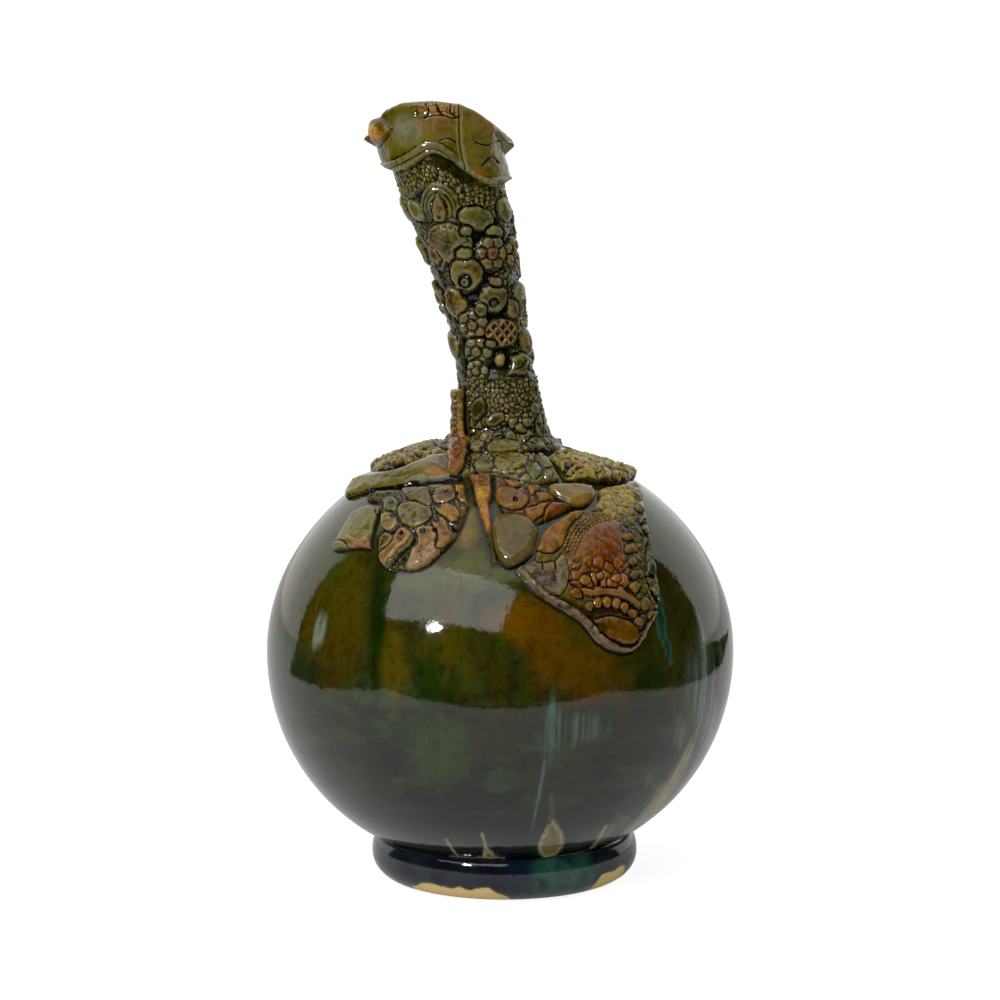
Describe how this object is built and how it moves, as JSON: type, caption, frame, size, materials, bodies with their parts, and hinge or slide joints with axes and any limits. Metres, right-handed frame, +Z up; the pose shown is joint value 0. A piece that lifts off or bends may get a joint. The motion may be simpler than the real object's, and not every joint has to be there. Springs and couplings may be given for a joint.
{
  "type": "bottle vase",
  "caption": "Glazed stoneware bottle vase: round globe on a low foot ring, slim leaning neck wrapped in lace-textured clay slabs, draped shoulder slabs and a saddle-shaped mouth.",
  "frame": {"origin": "on the surface it stands on, under the globe's axis", "axes": "+Z up, front (the side in the picture) towards -Y, +X to the viewer's right; the neck leans towards -X"},
  "size_m": [0.2222, 0.2222, 0.371],
  "materials": {
    "globe_glaze": "very glossy, streaked olive, amber and blue-black runny glaze",
    "foot_glaze": "glossy blue-black glaze with bare buff clay along the lower edge",
    "lace_glaze": "glossy olive glaze broken pale on the raised lace and dark in its hollows",
    "smooth_glaze": "glossy sage-grey glaze with amber thin spots",
    "amber_glaze": "glossy amber and red-brown glaze with pale edges"
  },
  "bodies": {
    "root": {"foot_ring": "foot_glaze", "globe_body": "globe_glaze", "neck_lower_sleeve": "lace_glaze", "neck_upper_sleeve": "lace_glaze", "rim_band_left": "smooth_glaze", "rim_band_right": "smooth_glaze", "rim_bud": "amber_glaze", "upright_strap": "amber_glaze", "front_skirt_slab": "lace_glaze", "left_fold": "smooth_glaze", "left_back_slab": "lace_glaze", "medallion_slab": "lace_glaze", "leaf_tab": "smooth_glaze", "centre_strip": "amber_glaze", "centre_petal": "smooth_glaze", "centre_lace_slab": "amber_glaze", "shoulder_roll": "smooth_glaze", "right_lappet": "amber_glaze", "right_collar_slab": "lace_glaze", "back_left_slab": "lace_glaze", "back_right_slab": "lace_glaze"}
  },
  "joints": []
}
